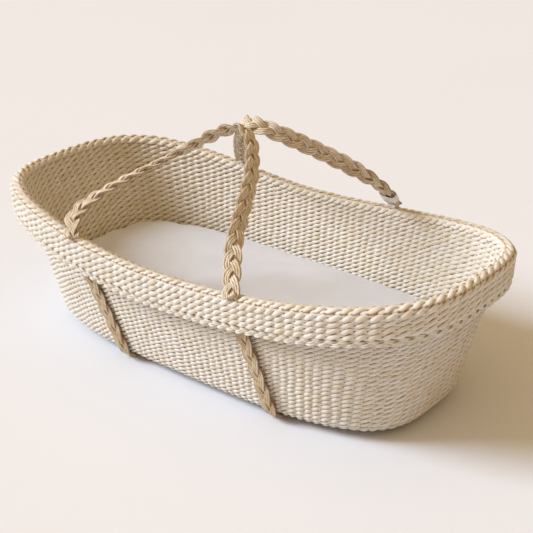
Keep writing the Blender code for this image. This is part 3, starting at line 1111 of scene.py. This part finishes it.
    def _base(self) -> bpy.types.Object:
        """The base, woven in rows that run along the basket.

        Returns:
            The piece.
        """
        shape = self.shape
        inset = shape.corner_radius
        half_length, half_width, power = shape.foot[0] - inset, shape.foot[1] - inset, shape.foot[2]
        height = shape.underside + shape.mat / 2.0
        count, step = self.size.base_rows, self.size.base_stitch
        pitch = 2.0 * half_width / count
        rows = []
        for i in range(count):
            y = -half_width + (i + 0.5) * pitch
            reach = half_length * (1.0 - abs(y / half_width) ** power) ** (1.0 / power)
            samples = max(int(2.0 * reach / step * 5), 8)
            x = np.linspace(-reach, reach, samples) + shape.foot_shift
            points = np.stack([x, np.full_like(x, y), np.full_like(x, height)], axis=1)
            ones = np.ones(samples)
            across, flat = (np.tile(v, (samples, 1)) for v in ((0.0, 1.0, 0.0), (0.0, 0.0, 1.0)))
            turn, size = x / step * HALF, ones * pitch / self.size.row_pitch
            rows.append(Path(points, across, flat, turn, size, False, 120 + i))
        lay = replace(self.WALL, sides=6, swing=-1.7 * MM, pinch=0.25)
        base = self.strands.lay("base_rows", rows, lay, self.husk, 51)
        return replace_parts(base, "base_mat")


# ---------------------------------------------------------------- straps and handles


@dataclass(frozen=True)
class HandleSize:
    """One handle's arch, in its own leaning plane, and its braid.

    Attributes:
        word: Which handle it is, as its nodes' names say.
        side: The side that it is on.
        arch: Points of its centre line: (along the basket, up from the hinge).
        sag: How far its two legs sag out of the plane.
        hinge_out: Distance of the hinge from the middle of the basket.
        hinge_height: Height of the hinge.
        lean: How far the plane leans over the basket.
        twist: Keys of its turn about itself: (share of its length, degrees).
        braid_turns: Full turns of the braid from exit to exit.
        tail: How far it goes on into the fold at each exit.
    """

    word: str
    side: Side
    arch: tuple[tuple[float, float], ...]
    sag: float
    hinge_out: float = 0.190
    hinge_height: float = 0.207
    lean: float = math.radians(51.3)
    twist: tuple[tuple[float, float], ...] = ((0.0, 0.0), (1.0, 0.0))
    braid_turns: float = 7.5
    tail: float = 0.012


def smooth_line(points: Iterable[Sequence[float]], count: int) -> tuple[np.ndarray, float]:
    """Evenly spaced points on a smooth curve through the given points, and its length.

    Args:
        points: Two- or three-dimensional points.
        count: Points to return.

    Returns:
        The points, and the curve's length.
    """
    knots = [np.array(p, float) for p in points]
    knots = [knots[0] * 2.0 - knots[1], *knots, knots[-1] * 2.0 - knots[-2]]
    fine = []
    for a, b, c, d in zip(knots, knots[1:], knots[2:], knots[3:]):
        for t in np.arange(40) / 40.0:
            fine.append(
                b + (c - a) * (0.5 * t) + (a * 2.0 - b * 5.0 + c * 4.0 - d) * (0.5 * t * t)
                + (b * 3.0 - a - c * 3.0 + d) * (0.5 * t ** 3)
            )
    fine.append(knots[-2])
    line = np.array(fine)
    length = np.concatenate([[0.0], np.cumsum(np.linalg.norm(np.diff(line, axis=0), axis=1))])
    wanted = np.linspace(0.0, length[-1], count)
    even = np.stack([np.interp(wanted, length, line[:, k]) for k in range(line.shape[1])], axis=1)
    return even, float(length[-1])


def ease(share: float) -> float:
    """A smooth step from 0 to 1."""
    share = min(max(share, 0.0), 1.0)
    return share * share * (3.0 - 2.0 * share)


@dataclass(frozen=True)
class Handle:
    """A carrying handle: a flat braid of three strands that arches over one long side.

    Attributes:
        size: Its arch and its twist.
        strands: What lays its strands.
        rope: Its finish.
    """

    size: HandleSize
    strands: LaidStrands
    rope: bpy.types.Material

    BRAID = Lay(strands=3, cords=3, swing=7.6 * MM, depth=3.3 * MM, depth_turns=2.0,
                depth_phase=0.0, spread=3.3 * MM, half_width=2.0 * MM, half_thickness=2.0 * MM,
                unevenness=0.30 * MM, sides=7)

    def twist_at(self, share: float) -> float:
        """How far the strap has turned about itself, in degrees, at a share of its length.

        Args:
            share: Share of its length, from its head end.

        Returns:
            The angle, in degrees.
        """
        for (start, first), (end, last) in zip(self.size.twist, self.size.twist[1:]):
            if share <= end:
                return first + (last - first) * ease((share - start) / (end - start))
        return self.size.twist[-1][1]

    def frames(self, count: int) -> tuple[np.ndarray, np.ndarray, np.ndarray, float]:
        """Centres, across and flat directions in the row frame, and the arch's length.

        Args:
            count: Points along the arch.

        Returns:
            The centres, the across and flat directions, and the length.
        """
        size = self.size
        even, length = smooth_line(size.arch, count)
        along = unit(np.gradient(even, axis=0))
        hinge = Matrix.Translation((0.0, size.side.value * size.hinge_out, size.hinge_height))
        hinge = hinge @ Matrix.Rotation(QUARTER + size.side.value * size.lean, 4, "X")
        turned = np.array(hinge.to_3x3())
        centres, across, flat = [], [], []
        for i in range(count):
            share = i / (count - 1)
            turn = math.radians(self.twist_at(share))
            ahead = np.array((*along[i], 0.0))
            beside = np.array((-along[i][1], along[i][0], 0.0)) * math.cos(turn)
            beside[2] += math.sin(turn)
            centres.append((*even[i], -size.sag * math.sin(TURN * share) ** 2))
            across.append(beside)
            flat.append(np.cross(ahead, beside))
        centres = np.array(centres) @ turned.T + np.array(hinge.translation)
        return centres, np.array(across) @ turned.T, np.array(flat) @ turned.T, length

    def build(self) -> bpy.types.Object:
        """Makes the braid.

        Returns:
            The piece.
        """
        size = self.size
        count = round(size.braid_turns * 20) + 1
        centres, across, flat, length = self.frames(count)
        step = length / (count - 1)
        extra = round(size.tail / step)
        into = (centres[0] - centres[1], centres[-1] - centres[-2])
        head = [centres[0] + into[0] * (extra - i) for i in range(extra)]
        foot = [centres[-1] + into[1] * (i + 1) for i in range(extra)]
        points = np.concatenate([head, centres, foot])
        across, flat = (
            np.concatenate([[v[0]] * extra, v, [v[-1]] * extra]) for v in (across, flat)
        )
        turn = (np.arange(len(points)) - extra) / (count - 1) * size.braid_turns * TURN
        path = Path(points, across, flat, turn, np.ones(len(points)))
        name = f"{size.word}_handle_braid"
        braid = self.strands.lay(name, [path], self.BRAID, self.rope, 61 + size.side.value)
        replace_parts(braid, *(f"{size.word}_handle_strand_{n}" for n in (1, 2, 3)))
        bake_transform(braid)
        return braid


@dataclass(frozen=True)
class Label:
    """A strip of fabric folded into a flat sleeve round one leg of a handle, near its foot exit.

    Attributes:
        handle: The handle that it goes round.
        fabric: Its finish.
        start: Its distance from the exit.
        width: Its width along the handle.
        girth: The strip's length, once round the handle; not used.
        thickness: Its thickness.
        half_size: Half the sleeve's width and half its depth.
    """

    handle: Handle
    fabric: bpy.types.Material
    start: float = 0.020
    width: float = 0.020
    girth: float = 0.0665
    thickness: float = 0.7 * MM
    half_size: tuple[float, float] = (13.4 * MM, 6.3 * MM)

    def build(self) -> bpy.types.Object:
        """Makes the sleeve.

        Returns:
            The piece.
        """
        count, around, along = 601, 64, 14
        centres, across, flat, length = self.handle.frames(count)
        bm = bmesh.new()
        layers = []
        for grow in (0.0, self.thickness):
            rings = []
            for i in range(along + 1):
                reach = self.start + self.width * (1.0 - i / along)
                k = round((1.0 - reach / length) * (count - 1))
                ring = []
                for j in range(around):
                    angle = TURN * (j + 0.5) / around
                    place = oval(angle, *(half + grow for half in self.half_size), 2.7)
                    ripple = 0.35 * MM * math.sin(angle * 3.0 + i * 0.5) * math.sin(i * 0.7)
                    side, out = across[k] * (place.x + ripple), flat[k] * (place.y + ripple)
                    ring.append(bm.verts.new(centres[k] + side + out))
                rings.append(ring)
            layers.append(rings if grow == 0.0 else rings[::-1])
        bridge(bm, layers[0] + layers[1], capped=False)
        sleeve = finished("label_sleeve", bm, self.fabric)
        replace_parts(sleeve, "care_label")
        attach(sleeve, "far_handle")
        return sleeve


@dataclass(frozen=True)
class Strap:
    """A braid that comes out under the cuff, runs down one side, under the base and up the other.

    Attributes:
        end: The end that it is at.
        bottom_x: Its place along the basket at the base.
        top_x: Its place along the basket at the cuff.
        shape: The basket's outlines.
        strands: What lays its strands.
        rope: Its finish.
        thickness: Its thickness.
        seat: The room under it, because the wall bulges across its width.
        top_drop: How far below the ridge it ends, under the cuff.
        turn_length: Length of one full turn of its braid.
    """

    end: End
    bottom_x: float
    top_x: float
    shape: BasketShape
    strands: LaidStrands
    rope: bpy.types.Material
    thickness: float = 0.0072
    seat: float = 0.0006
    top_drop: float = 0.030
    turn_length: float = 0.079

    BRAID = Lay(strands=3, cords=3, swing=7.4 * MM, depth=-1.45 * MM, depth_turns=2.0,
                depth_phase=0.0, spread=3.2 * MM, half_width=1.9 * MM, half_thickness=1.6 * MM,
                unevenness=0.15 * MM, sides=7)

    def _side(self, side: Side) -> list[Vector]:
        """The route down one side, from the middle of the base up to the cuff.

        Args:
            side: The side.

        Returns:
            Its points.
        """
        shape, middle = self.shape, self.thickness / 2.0 + self.seat
        turns = [QUARTER * i / 8 for i in range(8)]
        route = [(self.bottom_x, *shape.corner(turn, -middle)) for turn in turns]
        first = shape.underside + shape.corner_radius
        top = shape.height(self.top_x) - self.top_drop
        for i in range(9):
            share = i / 8
            route.append((self.bottom_x + (self.top_x - self.bottom_x) * share, middle,
                          first + (top - first) * share))
        return [shape.wall_side(x, out, z, side) for x, out, z in route]

    def build(self) -> bpy.types.Object:
        """Makes the braid.

        Returns:
            The piece.
        """
        near, far = self._side(Side.NEAR), self._side(Side.FAR)
        reach = far[0].y
        shares = np.linspace(-0.96, 0.96, 41)
        under = [Vector((self.bottom_x, reach * share, far[0].z)) for share in shares]
        route = list(reversed(near)) + under + far
        _, length = smooth_line(route, 2)
        turns = round(length / self.turn_length)
        count = turns * 20 + 1
        even, _ = smooth_line(route, count)
        tangent = unit(np.gradient(even, axis=0))
        x_axis = np.tile((1.0, 0.0, 0.0), (count, 1))
        across = unit(x_axis - tangent * np.sum(x_axis * tangent, axis=1, keepdims=True))
        flat = np.cross(tangent, across)
        turn = np.arange(count) / (count - 1) * turns * TURN
        path = Path(even, across, flat, turn, np.ones(count))
        word = self.end.value
        braid = self.strands.lay(f"strap_{word}_braid", [path], self.BRAID, self.rope, 71)
        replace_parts(braid, f"side_strap_near_{word}", f"side_strap_far_{word}",
                    f"under_strap_{word}")
        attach(braid, "basket")
        return braid


# ---------------------------------------------------------------- mattress


@dataclass(frozen=True)
class MattressSize:
    """The covered mattress's outline and profile.

    Attributes:
        half_length: Half its length.
        half_width: Half its width.
        squareness: How square its oval outline is.
        shift: How far its middle lies towards the foot end.
        floor: Height of its underside.
        profile: Rings from the underside up: (inset, height).
        foam_profile: Rings of the foam that shows inside the hem: (inset from the hem, height).
        crown: How far the middle of its top stands above the rim of its top.
        slack: Room between the foam's outline and the cover's.
        voxel: Size of the faces that the cloth simulation works on.
        cap: The furthest that the simulation may move a point.
        loose: Share by which the cover is wider than the mattress.
        hem: Inset of the elastic hem.
        gathers: Gathers round the hem.
    """

    half_length: float = 0.336
    half_width: float = 0.1605
    squareness: float = 3.3
    shift: float = 0.0095
    floor: float = 0.0161
    profile: tuple[tuple[float, float], ...] = (
        (0.054, 0.0), (0.036, 0.0), (0.022, 0.006), (0.011, 0.024), (0.002, 0.050), (0.0, 0.060),
        (0.004, 0.070), (0.013, 0.075), (0.043, 0.077),
    )
    foam_profile: tuple[tuple[float, float], ...] = (
        (0.030, 0.0010), (0.004, 0.0010), (0.002, 0.0018), (0.002, 0.0030), (0.004, 0.0036),
    )
    crown: float = 0.003
    slack: float = 0.0015
    voxel: float = 0.006
    cap: float = 0.004
    loose: float = 0.012
    hem: float = 0.050
    gathers: int = 96


@dataclass(frozen=True)
class Mattress:
    """A foam mattress in a fitted cotton cover, with its elastic hem underneath.

    Attributes:
        size: Its outline and profile.
        cotton: Finish of the cover and its hem.
        foam: Finish of the foam.
    """

    size: MattressSize
    cotton: bpy.types.Material
    foam: bpy.types.Material

    STEPS = 20  # of the cloth simulation

    def outline(self, inset: float, height: float, count: int = 160) -> list[Vector]:
        """One ring of points.

        Args:
            inset: Distance in from the outline.
            height: Height above the underside.
            count: Points in the ring.

        Returns:
            The points.
        """
        size = self.size
        made = []
        for i in range(count):
            p = oval(TURN * (i + 0.5) / count, size.half_length - inset,
                     size.half_width - inset, size.squareness)
            made.append(Vector((p.x + size.shift, p.y, size.floor + height)))
        return made

    def build(self) -> list[bpy.types.Object]:
        """Makes the cover, the foam that shows inside its hem, and the hem.

        Returns:
            The pieces.
        """
        made = [self._cover(), self._foam(), self._hem()]
        for piece in made:
            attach(piece, "mattress")
        return made

    def _cover(self) -> bpy.types.Object:
        """The cover, swollen over its foam and drawn in underneath by its hem.

        Returns:
            The piece.
        """
        size = self.size
        bm = bmesh.new()
        rings = [[bm.verts.new(p) for p in self.outline(inset + size.slack, height)]
                 for inset, height in size.profile[1:]]
        last_inset, last_height = size.profile[-1]
        for k in range(1, 6):
            share = k / 6.0
            height = last_height + size.crown * math.sin(share * QUARTER)
            ring = []
            for p in self.outline(last_inset + size.slack, height):
                centre = Vector((size.shift + max(-0.16, min(0.16, p.x - size.shift)), 0.0, p.z))
                ring.append(bm.verts.new(centre + (p - centre) * (1.0 - share)))
            rings.append(ring)
        bridge(bm, rings, capped=True)
        cover = finished("mattress_fitted_cover", bm, self.cotton)
        self._swell(cover)
        self._draw_in(cover)
        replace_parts(cover, "mattress_cover")
        return cover

    def _swell(self, cover: bpy.types.Object) -> None:
        """A short cloth simulation: air pressure from inside, with each point's move capped.

        Args:
            cover: The cover, which is changed.
        """
        size = self.size
        even = cover.modifiers.new("even mesh", "REMESH")
        even.mode, even.voxel_size = "VOXEL", size.voxel
        baked(cover)
        group = cover.vertex_groups.new(name="held")
        start = np.empty(len(cover.data.vertices) * 3)
        cover.data.vertices.foreach_get("co", start)
        start = start.reshape(-1, 3)
        held = np.nonzero(start[:, 2] < size.floor + 0.004)[0]
        group.add([int(i) for i in held], 1.0, "REPLACE")
        cloth = cover.modifiers.new("swell", "CLOTH")
        settings = cloth.settings
        settings.quality, settings.mass = 4, 0.3
        settings.tension_stiffness = settings.compression_stiffness = 12.0
        settings.shear_stiffness, settings.bending_stiffness = 4.0, 0.25
        settings.use_pressure, settings.uniform_pressure_force = True, 4.0
        settings.shrink_min = -size.loose
        settings.vertex_group_mass = "held"
        settings.effector_weights.gravity = 0.0
        cloth.point_cache.frame_start, cloth.point_cache.frame_end = 1, self.STEPS
        scene = bpy.context.scene
        for step in range(1, self.STEPS + 1):
            scene.frame_set(step)
        graph = bpy.context.evaluated_depsgraph_get()
        solved = cover.evaluated_get(graph)
        end = np.empty(len(solved.data.vertices) * 3)
        solved.data.vertices.foreach_get("co", end)
        move = end.reshape(-1, 3) - start
        reach = np.maximum(np.linalg.norm(move, axis=1, keepdims=True), 1e-9)
        move *= np.minimum(size.cap * np.tanh(reach / size.cap), reach) / reach
        cover.modifiers.clear()
        scene.frame_set(1)
        cover.data.vertices.foreach_set("co", (start + move).ravel())
        smooth = cover.modifiers.new("smooth", "SUBSURF")
        smooth.levels = smooth.render_levels = 1
        baked(cover)
        log.info("cover: simulated moves of up to %.1f mm, each held to %.1f mm",
                 float(reach.max()) / MM, size.cap / MM)

    def _draw_in(self, cover: bpy.types.Object) -> None:
        """Lifts the underside inside the hem, and gathers the fabric just outside it.

        Args:
            cover: The cover, which is changed.
        """
        size = self.size
        for vertex in cover.data.vertices:
            place = vertex.co
            if place.z > size.floor + 0.03:
                continue
            x, y = abs(place.x - size.shift), abs(place.y)
            power = size.squareness
            inner_x, inner_y = size.half_length - size.hem, size.half_width - size.hem
            share = (x / inner_x) ** power + (y / inner_y) ** power
            gap = (share ** (1.0 / power) - 1.0) * inner_y
            lift = ease((0.004 - gap) / 0.006) * 0.0045
            angle = math.atan2(place.y / inner_y, (place.x - size.shift) / inner_x)
            gather = 0.5 + 0.5 * math.sin(angle * size.gathers + 2.0 * math.sin(angle * 17.0))
            low = ease(1.0 - (place.z - size.floor) / 0.012)
            near = ease(1.0 - abs(gap - 0.004) / 0.016)
            place.z += max(lift * low, gather * near * low * 0.0016)

    def _foam(self) -> bpy.types.Object:
        """The foam that shows inside the hem, underneath.

        Returns:
            The piece.
        """
        size = self.size
        bm = bmesh.new()
        rings = []
        for inside, height in size.foam_profile:
            rings.append([bm.verts.new(p) for p in self.outline(size.hem + inside, height)])
        bridge(bm, rings, capped=True)
        foam = finished("mattress_foam", bm, self.foam)
        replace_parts(foam, "mattress_core")
        return foam

    def _hem(self) -> bpy.types.Object:
        """The rolled hem with elastic in it, gathered all round.

        Returns:
            The piece.
        """
        size, count, sides = self.size, 720, 8
        line = self.outline(size.hem, 0.0028, count)
        bm = bmesh.new()
        rings = []
        for i, centre in enumerate(line):
            ahead = (line[(i + 1) % count] - line[i - 1]).normalized()
            beside = ahead.cross(UP)
            angle = TURN * i / count
            pull = math.sin(angle * size.gathers + 2.0 * math.sin(angle * 17.0))
            middle = centre + beside * (0.7 * MM * pull)
            radius = (1.7 + 0.35 * pull) * MM
            ring = []
            for k in range(sides):
                a = TURN * k / sides
                around = beside * (radius * math.cos(a)) + UP * (radius * math.sin(a))
                ring.append(bm.verts.new(middle + around))
            rings.append(ring)
        bridge(bm, rings, capped=False)
        hem = finished("cover_gathered_hem", bm, self.cotton)
        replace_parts(hem, "cover_elastic")
        return hem


# ---------------------------------------------------------------- studio


@dataclass(frozen=True)
class Studio:
    """Floor, key light, world and camera.

    Attributes:
        floor: The floor's finish.
        target: The point that the camera looks at.
        azimuth: The camera's angle round the basket, from the near side towards the foot end.
        elevation: Its angle above the floor.
        distance: Its distance from the target.
        roll: Its roll, in radians.
        lens: Its focal length, in mm.
        floor_radius: The floor's radius, so wide that its edge is at the horizon.
        sky_strength: Strength of the world's light.
    """

    floor: bpy.types.Material
    target: tuple[float, float, float] = (0.039, 0.0, 0.139)
    azimuth: float = math.radians(38.2)
    elevation: float = math.radians(25.4)
    distance: float = 1.806
    roll: float = 0.007
    lens: float = 82.33
    floor_radius: float = 60.0
    sky_strength: float = 0.66

    def build(self) -> None:
        """Makes all of it; the sky is warm, brighter overhead and pale at the horizon."""
        self._floor()
        self._camera()
        self._sun((-0.70, -0.49, 0.53), 24.0, 3.5, "#EBF3FF")
        bpy.context.scene.view_settings.view_transform = "Standard"
        world = bpy.data.worlds.new("studio")
        bpy.context.scene.world = world
        world.use_nodes = True
        tree = world.node_tree
        place = add(tree, COORDINATE, out="Generated")
        height = add(tree, APART, (place,), 2)
        sky = add(tree, MIX, {
            0: add(tree, STEP, (height, 0.15, 0.75)), 6: linear("#8E5526"), 7: linear("#FFDDA8"),
        })
        sky = add(tree, MIX, {
            0: add(tree, STEP, (height, 0.16, 0.07)), 6: sky, 7: linear("#C9C0B6"),
        })
        link(tree, tree.nodes["Background"], {"Color": sky, "Strength": self.sky_strength})

    def _floor(self) -> None:
        """A wide pale floor."""
        bm = bmesh.new()
        bmesh.ops.create_circle(bm, cap_ends=True, segments=96, radius=self.floor_radius)
        mesh = bpy.data.meshes.new("studio_floor")
        bm.to_mesh(mesh)
        bm.free()
        mesh.materials.append(self.floor)
        floor = bpy.data.objects.new("studio_floor", mesh)
        floor.location.z = -0.0005
        bpy.context.scene.collection.objects.link(floor)

    def _camera(self) -> None:
        """The camera, looking down on the basket from its near side and foot end."""
        a, e, r = self.azimuth, self.elevation, self.roll
        back = Vector((math.sin(a) * math.cos(e), -math.cos(a) * math.cos(e), math.sin(e)))
        right = (-back).cross(UP).normalized()
        up = right.cross(-back)
        across = right * math.cos(r) + up * math.sin(r)
        above = -right * math.sin(r) + up * math.cos(r)
        camera = bpy.data.objects.new("camera", bpy.data.cameras.new("camera"))
        camera.data.lens, camera.data.sensor_width = self.lens, 36.0
        place = Matrix.Translation(Vector(self.target) + back * self.distance)
        camera.matrix_world = place @ Matrix((across, above, back)).transposed().to_4x4()
        bpy.context.scene.collection.objects.link(camera)
        bpy.context.scene.camera = camera

    def _sun(self, towards: Sequence[float], spread: float, strength: float, colour: str) -> None:
        """A broad soft key light.

        Args:
            towards: Direction from the basket to the light.
            spread: Its apparent size, in degrees, which softens the shadows.
            strength: Its strength.
            colour: Its colour.
        """
        sun = bpy.data.objects.new("key", bpy.data.lights.new("key", "SUN"))
        sun.data.angle, sun.data.energy = math.radians(spread), strength
        sun.data.color = linear(colour)[:3]
        sun.location = Vector(towards) * 3.0
        sun.rotation_mode = "QUATERNION"
        sun.rotation_quaternion = (-Vector(towards)).to_track_quat("-Z", "Y")
        bpy.context.scene.collection.objects.link(sun)


NEAR_HANDLE = HandleSize(
    "near", Side.NEAR,
    arch=(
        (-0.170, 0.003), (-0.180, 0.026), (-0.150, 0.080), (-0.068, 0.170), (-0.030, 0.211),
        (-0.002, 0.228), (0.024, 0.217), (0.045, 0.190), (0.067, 0.148), (0.096, 0.062),
        (0.129, 0.002),
    ),
    sag=0.0,
    twist=(
        (0.0, 0.0), (0.04, 0.0), (0.16, -34.0), (0.30, -44.0), (0.46, -84.0), (0.56, -68.0),
        (0.80, -62.0), (0.97, -8.0), (1.0, 0.0),
    ),
    tail=0.018,
)
FAR_HANDLE = HandleSize(
    "far", Side.FAR,
    arch=(
        (-0.163, 0.001), (-0.131, 0.058), (-0.093, 0.117), (-0.053, 0.176), (-0.030, 0.207),
        (-0.008, 0.225), (0.016, 0.224), (0.043, 0.202), (0.081, 0.140), (0.139, 0.064),
        (0.134, 0.000),
    ),
    sag=0.008,
    twist=(
        (0.0, 0.0), (0.10, 0.0), (0.35, 70.0), (0.50, 90.0), (0.72, 100.0), (0.94, 180.0),
        (1.0, 180.0),
    ),
)


def report(pieces: Iterable[bpy.types.Object]) -> None:
    """Logs each piece and its size in triangles.

    Args:
        pieces: The pieces.
    """
    for piece in pieces:
        triangles = sum(len(face.vertices) - 2 for face in piece.data.polygons)
        log.info("%s: %d triangles", piece.name, triangles)


def main() -> None:
    """Builds the basket, piece by piece."""
    logging.basicConfig(level=logging.INFO, format="%(message)s")
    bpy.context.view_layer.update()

    # Matt emulsion, put on with a roller: an even pale floor, with hardly any mottle.
    paint = PlainFinish("emulsion paint, rolled", "#EEF3FC", "#ECF1FA", 0.7).material()
    Studio(paint).build()

    strands, shape = LaidStrands(), BasketShape()
    # Husks dried in the sun and rolled by hand: matt creamy strands with fine streaks along them,
    # and painted brown shade between the rows and where they fold under one another.
    husk = HuskFinish("maize husk, dried and hand rolled").material()
    # Split stem, dried, made darker and more even: dark brown painted shade, seen only in the gaps
    # between the stitches.
    stem = HuskFinish("maize stem, split and dried", pale="#7A5836", straw="#654526",
                      crease="#4A3018", hollow="#38230F").material()
    report(Basket(shape, WeaveSize(), strands, husk, stem).build())

    # Cord twisted by hand from the same husk: a fine helix of plies, with golden painted shade in
    # its grooves.
    rope = RopeFinish("maize husk cord, hand twisted").material()
    # The same cord, rubbed and darkened where it is handled and set down: browner all over.
    worn = RopeFinish("maize husk cord, darkened by handling",
                      pale="#E0D0B4", straw="#C4AA82", groove="#6F4F2E").material()
    for end, bottom_x, top_x in ((End.HEAD, -0.105, -0.163), (End.FOOT, 0.170, 0.133)):
        report([Strap(end, bottom_x, top_x, shape, strands, worn).build()])
    handles = [Handle(size, strands, rope) for size in (NEAR_HANDLE, FAR_HANDLE)]
    report(handle.build() for handle in handles)

    # Bleached tape, tightly woven: flat white, with a fine ribbed grain.
    tape = CottonFinish("cotton tape, woven and bleached",
                        light="#F2F2F2", shade="#E4E4E2", thread=0.5 * MM).material()
    report([Label(handles[1], tape).build()])

    # Plain woven calico, washed: soft cool white, with a faint cloudiness and a fine square weave.
    cotton = CottonFinish("cotton calico, plain woven and washed").material()
    # Foam cut from a block: pale yellow and matt, with its open cells as a fine grain.
    foam = PlainFinish("polyurethane foam, cut block", "#F1E7C8", "#E3D6B0", 900.0).material()
    report(Mattress(MattressSize(), cotton, foam).build())


if __name__ == "__main__":
    main()
